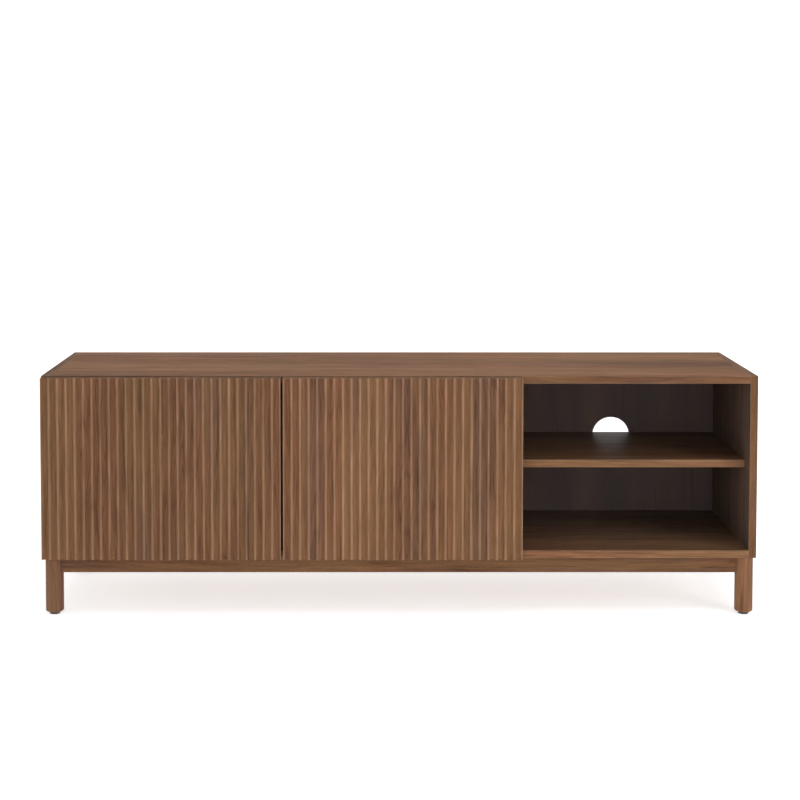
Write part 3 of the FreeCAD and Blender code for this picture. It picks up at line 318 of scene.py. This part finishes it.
def backboard(name, low, high, shift):
    """Thin back panel: dark foil with fine upright lines inside, raw hardboard behind."""
    finish = Finish(name)
    wood = WoodGrain(finish, low, high, "z", "x", shift)
    bands = wood.noise(1.0, 14.0)
    streaks = wood.noise(3.0, 150.0, detail=3.0, roughness=0.6)
    fibres = wood.noise(18.0, 800.0)
    colour = finish.blend(finish.between(bands, 0.38, 0.62), BACKBOARD_BROWN, BACKBOARD_GREY)
    colour = finish.blend(finish.between(streaks, 0.55, 0.75) * 0.5, colour, BACKBOARD_LINE)
    colour = finish.scaled(colour, 0.86 + 0.16 * streaks + 0.12 * fibres)
    wear = edge_wear(finish, low, high, 0.5 * MM)
    colour = finish.blend(wear * 0.35, colour, BACKBOARD_BROWN)
    chips = finish.noise(finish.times(finish.place, (260.0,) * 3), 4.0, 0.7)
    raw = finish.blend(finish.between(chips, 0.40, 0.62), HARDBOARD_BROWN, HARDBOARD_DARK)
    rear = finish.between(finish.along(finish.place, "y"), high.y - 0.4 * MM, high.y - 0.2 * MM)
    colour = finish.blend(rear, colour, raw)
    return finish.coat(
        Base_Color=colour,
        Roughness=0.50 + 0.14 * (streaks - 0.5),
        Normal=finish.bump(fibres, 0.18, 0.08 * MM),
        Specular_IOR_Level=FOIL_SHINE,
    )


def beech(name):
    """Raw beech with short flecks."""
    finish = Finish(name)
    flecks = finish.noise(finish.times(finish.place, (900.0, 900.0, 160.0)), 2.0)
    tint = finish.noise(finish.times(finish.place, (60.0, 60.0, 12.0)), 2.0)
    colour = finish.blend(tint, (0.60, 0.42, 0.25, 1), (0.68, 0.49, 0.31, 1))
    colour = finish.blend(finish.between(flecks, 0.6, 0.75) * 0.5, colour, (0.42, 0.26, 0.14, 1))
    return finish.coat(
        Base_Color=colour,
        Roughness=0.62 + 0.12 * (flecks - 0.5),
        Normal=finish.bump(flecks, 0.2, 0.05 * MM),
    )


def metal(name, low, high, tone, worn_tone, roughness, grain):
    """Plated metal: drawn grain, dulled patches and brighter edges."""
    finish = Finish(name)
    drawn = finish.noise(finish.times(finish.place, grain), 3.0, 0.6)
    patches = finish.noise(finish.times(finish.place, (90.0, 90.0, 90.0)), 3.0)
    wear = edge_wear(finish, low, high, 0.4 * MM)
    colour = finish.blend(finish.between(patches, 0.35, 0.70), tone, worn_tone)
    colour = finish.scaled(colour, 0.93 + 0.10 * drawn + 0.08 * wear)
    return finish.coat(
        Base_Color=colour,
        Metallic=1.0,
        Roughness=roughness + 0.16 * (drawn - 0.5) + 0.10 * (patches - 0.5) - 0.06 * wear,
        Normal=finish.bump(drawn, 0.12, 0.03 * MM),
    )


def plastic(name, low, high, tone, scuffed_tone, roughness, bumpiness):
    """Moulded plastic with a fine eroded texture and scuffed edges."""
    finish = Finish(name)
    fine = finish.noise(finish.times(finish.place, (2600.0,) * 3), 2.0)
    clouds = finish.noise(finish.times(finish.place, (120.0,) * 3), 3.0)
    wear = edge_wear(finish, low, high, 0.5 * MM)
    colour = finish.blend(finish.between(clouds, 0.4, 0.75) * 0.5 + wear * 0.4, tone, scuffed_tone)
    return finish.coat(
        Base_Color=colour,
        Roughness=roughness + 0.18 * (fine - 0.5) + 0.10 * (clouds - 0.5),
        Normal=finish.bump(fine, bumpiness, 0.04 * MM),
    )


# ---- surfaces -------------------------------------------------------------------------

def shell(name, rings, lid=True):
    """Shell through rings of points, an array of rings by points by three. Point k of a ring
    joins point k of the next one, and each end ring is closed by a strip of faces between
    point k and its opposite number, count - 1 - k. Without a lid the last ring stays open."""
    levels, count, _ = rings.shape
    level = np.arange(levels - 1)[:, None] * count
    here = np.arange(count)[None, :]
    after = (here + 1) % count
    walls = np.stack(
        [level + here, level + after, level + count + after, level + count + here], axis=-1
    ).reshape(-1, 4)
    k = np.arange(count // 2 - 1)
    foot = np.stack([k, count - 1 - k, count - 2 - k, k + 1], axis=-1)
    top = foot[:, ::-1] + (levels - 1) * count
    mesh = bpy.data.meshes.new(name)
    faces = np.concatenate([walls, foot, top] if lid else [walls, foot]).tolist()
    mesh.from_pydata(rings.reshape(-1, 3).tolist(), [], faces)
    mesh.shade_smooth()
    mesh.set_sharp_from_angle(angle=CRISP_ANGLE)
    piece = bpy.data.objects.new(name, mesh)
    bpy.context.scene.collection.objects.link(piece)
    return piece


def turned(name, profile, foot, axis="z", sides=96, lid=True):
    """Turned piece on an upright axis z or a level axis y. Ring s is a circle of radius
    profile[s][0] at the distance profile[s][1] from the foot point along the axis w: its
    point at turn t is foot + radius * (cos t * u + sin t * v) + distance * w."""
    u, w = np.eye(3)[0], np.eye(3)[AXIS[axis]]
    v = np.cross(w, u)
    turn = (np.arange(sides) + 0.5) * 2 * np.pi / sides
    circle = np.cos(turn)[:, None] * u + np.sin(turn)[:, None] * v
    radius, distance = np.array(profile, float).T
    rings = np.array(foot) + radius[:, None, None] * circle + distance[:, None, None] * w
    return shell(name, rings, lid)


def rounded(corners, steps=5):
    """Profile of radius and height whose corners are rounded, but for the first and the last.
    Each corner c comes with a reach, and its arc is the curve (1-t)^2 a + 2t(1-t) c + t^2 b
    between the points a and b that lie that far from it on its two sides."""
    points = [corners[0][:2]]
    t = np.linspace(0, 1, steps)[:, None]
    for before, corner, after in zip(corners, corners[1:], corners[2:]):
        c = np.array(corner[:2])
        ways = [np.array(other[:2]) - c for other in (before, after)]
        a, b = (c + way / np.linalg.norm(way) * corner[2] for way in ways)
        points.extend(((1 - t) ** 2 * a + 2 * t * (1 - t) * c + t ** 2 * b).tolist())
    points.append(corners[-1][:2])
    return points


FLUTES = 28
FLUTE_DEEP = 3.5 * MM
FLUTE_LAND = 3.5 * MM
LAND_SOFTNESS = 0.5 * MM
ARRIS = 0.5 * MM
STEPS_PER_FLUTE = 26
BORER_PAST_FACE = 2 * MM


def fluted_front(x, left, pitch):
    """Depth of the fluted face behind its front plane. A flute is a circular arc of sagitta s
    over the chord c, with radius R = (c^2 / 4 + s^2) / 2s, so at u from its middle the arc
    lies e = sqrt(R^2 - u^2) - (R - s) deep. Between flutes e is below zero and the land is
    flat: the depth is the smooth maximum (e + sqrt(e^2 + w^2)) / 2 of e and zero."""
    chord = pitch - FLUTE_LAND
    radius = (chord ** 2 / 4 + FLUTE_DEEP ** 2) / (2 * FLUTE_DEEP)
    u = (x - left) % pitch - pitch / 2
    arc = np.sqrt(radius ** 2 - u ** 2) - (radius - FLUTE_DEEP)
    return (arc + np.sqrt(arc ** 2 + LAND_SOFTNESS ** 2)) / 2


def fluted_door(name, low, high):
    """Fluted board: its section, the fluted front from left to right and the flat back from
    right to left, is carried upwards and drawn in by an arris at each end."""
    pitch = (high.x - low.x) / FLUTES
    inside = np.linspace(low.x + ARRIS, high.x - ARRIS, FLUTES * STEPS_PER_FLUTE)
    x = np.concatenate([[low.x], inside, [high.x]])
    front = low.y + fluted_front(x, low.x, pitch)
    front[[0, -1]] = low.y + ARRIS
    back = np.full_like(x, high.y)
    back[[0, -1]] = high.y - ARRIS
    section_x = np.concatenate([x, x[::-1]])
    section_y = np.concatenate([front, back[::-1]])
    inward = np.concatenate([np.ones_like(x), -np.ones_like(x)]) * ARRIS
    rings = []
    for z, drawn in ((low.z, 1), (low.z + ARRIS, 0), (high.z - ARRIS, 0), (high.z, 1)):
        ring_x = np.clip(section_x, low.x + drawn * ARRIS, high.x - drawn * ARRIS)
        ring_y = section_y + drawn * inward
        rings.append(np.stack([ring_x, ring_y, np.full_like(ring_x, z)], axis=-1))
    return shell(name, np.array(rings))


def bored(piece, mouths, radius, deep):
    """Take blind round holes, whose mouths are the points given, out of a piece's back face."""
    profile = ((radius, 0), (radius, deep + BORER_PAST_FACE))
    for x, y, z in mouths:
        cutter = turned("borer", profile, (x, y - deep, z), "y", sides=128)
        drill = piece.modifiers.new("bore", "BOOLEAN")
        drill.operation = "DIFFERENCE"
        drill.solver = "EXACT"
        drill.object = cutter
        graph = bpy.context.evaluated_depsgraph_get()
        cut_mesh = bpy.data.meshes.new_from_object(piece.evaluated_get(graph))
        piece.modifiers.clear()
        piece.data = cut_mesh
        bpy.data.objects.remove(cutter)
    piece.data.set_sharp_from_angle(angle=CRISP_ANGLE)


def finished(piece, material):
    """Give a piece one material all over."""
    piece.data.materials.clear()
    piece.data.materials.append(material)


# ---- boards ---------------------------------------------------------------------------

# Node, axis of its fibres, axis of the fibres on its end bands, then its looks: painted light and
# shade, painted light and shade of its front edge, shine, figure and the inner face painted with
# shade.
BOARDS = (
    # The top is painted lighter, as light falls on it from above, and its front edge painted darker:
    # painted light and shade.
    ("top_panel", "x", "y", 1.12, 0.70, TOP_SHINE, 1.3),
    ("bottom_panel", "x", "y", 0.88, 1.12, FOIL_SHINE, 0.5, "floor"),
    ("left_side_panel", "z", "y", 0.85, 0.95, SIDE_SHINE, 0.5, "high x"),
    ("right_side_panel", "z", "y", 0.85, 0.90, SIDE_SHINE, 0.5, "low x"),
    ("bay_divider", "z", "y", 0.88, 1.0, SIDE_SHINE, 0.5, "both x"),
    ("centre_partition", "z", "y", 0.88, 1.0, SIDE_SHINE, 0.5, "both x"),
    ("left_bay_shelf", "x", "y", 0.88, 1.18, FOIL_SHINE, 0.5, "floor"),
    ("middle_bay_shelf", "x", "y", 0.88, 1.18, FOIL_SHINE, 0.5, "floor"),
    ("open_bay_shelf", "x", "y", 0.88, 1.18, FOIL_SHINE, 0.5, "floor"),
    # The rails, under the carcass, are painted darker: painted shade.
    ("front_rail", "x", "y", 0.72, 1.0, FOIL_SHINE, 0.5),
    ("rear_rail", "x", "y", 0.72, 1.0, FOIL_SHINE, 0.5),
    ("left_rail", "y", "x", 0.80, 1.0, FOIL_SHINE, 0.5),
    ("right_rail", "y", "x", 0.80, 1.0, FOIL_SHINE, 0.5),
)


def shift_of(number):
    """Where in the foil a piece is cut: steps of three unequal lengths keep pieces apart.
    Boards count from 0, back panels from 20, doors from 40 and legs from 60."""
    return (0.731 * number, 1.193 * number, 0.857 * number)


for number, (node, grain, band, *looks) in enumerate(BOARDS):
    low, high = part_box(node)
    material = walnut(f"walnut {node}", low, high, grain, band, shift_of(number), *looks)
    finished(nodes[node], material)
for number, bay in enumerate(("left", "middle", "open")):
    node = f"{bay}_bay_back_panel"
    low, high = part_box(node)
    finished(nodes[node], backboard(f"backboard {bay}", low, high, shift_of(number + 20)))


# ---- doors ----------------------------------------------------------------------------

BORE_AIR = 0.05 * MM

# Each door's painted light and shade: the left door is painted darker than the right.
for number, (side, painted_light_and_shade) in enumerate((("left", 0.88), ("right", 0.95))):
    low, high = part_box(f"{side}_door_panel")
    door = fluted_door(f"{side}_fluted_door", low, high)
    mouths = []
    for level in ("upper", "lower"):
        cup_low, cup_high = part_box(f"{side}_{level}_hinge_cup")
        cup = (cup_low + cup_high) / 2
        mouths.append((cup.x, high.y, cup.z))
    cup_radius = (cup_high.x - cup_low.x) / 2
    bored(door, mouths, cup_radius + BORE_AIR, high.y - cup_low.y + BORE_AIR)
    shift = shift_of(number + 40)
    foil = walnut(f"walnut {side} door", low, high, "z", "x", shift, painted_light_and_shade, ridge=low.y)
    finished(door, foil)
    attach(door, f"{side}_door")
    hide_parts(f"{side}_door_panel")


# ---- legs and glides ------------------------------------------------------------------

LEG_CHAMFER = 2 * MM
LEG_SHINE = 0.06
GLIDE_RIM = 3 * MM
BLACK = (0.016, 0.016, 0.017, 1)
SCUFFED_BLACK = (0.055, 0.055, 0.055, 1)

# Corner and the painted light and shade of its leg, darkest at the front left.
LEGS = (("front_left", 0.82), ("front_right", 0.92), ("rear_left", 0.85), ("rear_right", 0.90))

for number, (corner, painted_light_and_shade) in enumerate(LEGS):
    low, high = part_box(f"{corner}_leg")
    middle = (low + high) / 2
    radius, tall = (high.x - low.x) / 2, high.z - low.z
    leg_profile = rounded((
        (radius - 2 * LEG_CHAMFER, 0, 0),
        (radius - LEG_CHAMFER, 0, 0.5 * MM),
        (radius, LEG_CHAMFER, 0.9 * MM),
        (radius, tall, 0.2 * MM),
        (radius - 2 * LEG_CHAMFER, tall, 0),
    ))
    leg = turned(f"{corner}_turned_leg", leg_profile, (middle.x, middle.y, low.z))
    shift = shift_of(number + 60)
    stain = walnut(f"walnut {corner} leg", low, high, "z", "x", shift, painted_light_and_shade, 1.0, LEG_SHINE)
    finished(leg, stain)
    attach(leg, "carcass")
    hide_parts(f"{corner}_leg")

    glide_low, glide_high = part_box(f"{corner}_glide")
    glide_radius, glide_tall = (glide_high.x - glide_low.x) / 2, low.z - glide_low.z
    glide_profile = rounded((
        (glide_radius - GLIDE_RIM, 0, 0),
        (glide_radius, 0, 1.6 * MM),
        (glide_radius, glide_tall, 0.4 * MM),
        (glide_radius - GLIDE_RIM, glide_tall, 0),
    ), steps=7)
    foot = (middle.x, middle.y, glide_low.z)
    glide = turned(f"{corner}_rounded_glide", glide_profile, foot, sides=64)
    finished(glide, plastic(
        f"black plastic {corner} glide", glide_low, glide_high, BLACK, SCUFFED_BLACK, 0.55, 0.25
    ))
    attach(glide, "carcass")
    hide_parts(f"{corner}_glide")


# ---- fittings -------------------------------------------------------------------------

SIDES = ("left", "right")
HINGES = [f"{side}_{level}_hinge" for side in SIDES for level in ("upper", "lower")]
NICKEL = (0.66, 0.63, 0.59, 1)
DULL_NICKEL = (0.50, 0.48, 0.45, 1)
ZINC = (0.60, 0.60, 0.62, 1)
DULL_ZINC = (0.44, 0.44, 0.46, 1)
GREY = (0.42, 0.42, 0.41, 1)
SCUFFED_GREY = (0.56, 0.56, 0.55, 1)
CLEAR = (0.70, 0.70, 0.67, 1)
SCUFFED_CLEAR = (0.80, 0.80, 0.78, 1)

nickel_nodes = [f"{hinge}_{piece}" for hinge in HINGES for piece in ("cup", "arm", "plate")]
nickel_nodes += [f"{side}_hinge_pins" for side in SIDES]
nickel_nodes += [f"{side}_cup_screws" for side in SIDES] + ["plate_screws"]
zinc_nodes = ["cam_bolts", "cam_locks", "leg_bolts", "rail_screws", "latch_screws", "shelf_pegs"]
zinc_nodes += [f"{side}_strike_plate" for side in SIDES]
latch_nodes = [f"{side}_latch_{piece}" for side in SIDES for piece in ("housing", "plunger")]

for node in nickel_nodes:
    grain = (700.0, 120.0, 700.0)
    material = metal(f"nickel {node}", *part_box(node), NICKEL, DULL_NICKEL, 0.30, grain)
    finished(nodes[node], material)
for node in zinc_nodes:
    grain = (400.0, 400.0, 400.0)
    material = metal(f"zinc {node}", *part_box(node), ZINC, DULL_ZINC, 0.42, grain)
    finished(nodes[node], material)
for node in latch_nodes:
    material = plastic(f"grey plastic {node}", *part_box(node), GREY, SCUFFED_GREY, 0.50, 0.20)
    finished(nodes[node], material)
for side in SIDES:
    node = f"{side}_door_bumpers"
    material = plastic(f"clear {side} bumpers", *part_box(node), CLEAR, SCUFFED_CLEAR, 0.28, 0.08)
    finished(nodes[node], material)
finished(nodes["wooden_dowels"], beech("beech dowels"))


# ---- stage, light and camera ----------------------------------------------------------

# The floor is a wide bowl: flat, then bent up by a quarter circle into a wall.
FLOOR_RADIUS = 5.6
WALL_BEND = 1.2
WALL_TOP = 2.6

flat = FLOOR_RADIUS - WALL_BEND
bend = np.linspace(0, np.pi / 2, 24)[1:]
bent = np.stack([flat + WALL_BEND * np.sin(bend), WALL_BEND * (1 - np.cos(bend))], axis=-1)
floor_profile = [(1.0, 0.0), (flat, 0.0), *bent.tolist(), (FLOOR_RADIUS, WALL_TOP)]
floor = turned("studio_floor", floor_profile, (0, 0, 0), sides=128, lid=False)
paper = Finish("white paper")
mottle = paper.noise(paper.scaled(paper.place, 3.0))
finished(floor, paper.coat(
    Base_Color=paper.blend(mottle, (0.93, 0.93, 0.93, 1), (0.95, 0.95, 0.95, 1)),
    Roughness=0.85,
    Emission_Color=(1, 1, 1, 1),
    Emission_Strength=0.55,
))


def softbox(name, spot, aim, wide, tall, power):
    """Rectangular soft light at a spot, turned towards a point."""
    lamp = bpy.data.lights.new(name, "AREA")
    lamp.shape = "RECTANGLE"
    lamp.size = wide
    lamp.size_y = tall
    lamp.energy = power
    holder = bpy.data.objects.new(name, lamp)
    holder.location = spot
    holder.rotation_euler = (Vector(aim) - Vector(spot)).to_track_quat("-Z", "Y").to_euler()
    bpy.context.scene.collection.objects.link(holder)


softbox("overhead_light", (0.2, -0.9, 3.2), (0, 0, 0.2), 3.4, 2.2, 40)
softbox("right_light", (3.2, -2.8, 1.9), (0, 0, 0.3), 1.6, 1.6, 36)
softbox("left_light", (-3.4, -2.6, 1.5), (0, 0, 0.3), 2.0, 1.8, 3)
softbox("back_light", (0.0, 3.6, 2.4), (0, 0, 0.4), 3.0, 1.6, 10)

world = bpy.data.worlds.new("soft sky")
bpy.context.scene.world = world
world.use_nodes = True
world.node_tree.nodes["Background"].inputs["Color"].default_value = (1, 1, 1, 1)
world.node_tree.nodes["Background"].inputs["Strength"].default_value = 0.32

lens = bpy.data.cameras.new("camera")
lens.sensor_width = 36
lens.lens = 71.97
lens.shift_x = 0.0315
lens.shift_y = -0.219
lens.clip_start = 0.05
lens.clip_end = 50
camera = bpy.data.objects.new("camera", lens)
camera.location = (-0.0516, -3.4997, 0.9985)
camera.rotation_euler = (radians(87), 0, 0)
bpy.context.scene.collection.objects.link(camera)
bpy.context.scene.camera = camera
bpy.context.scene.view_settings.view_transform = "Standard"
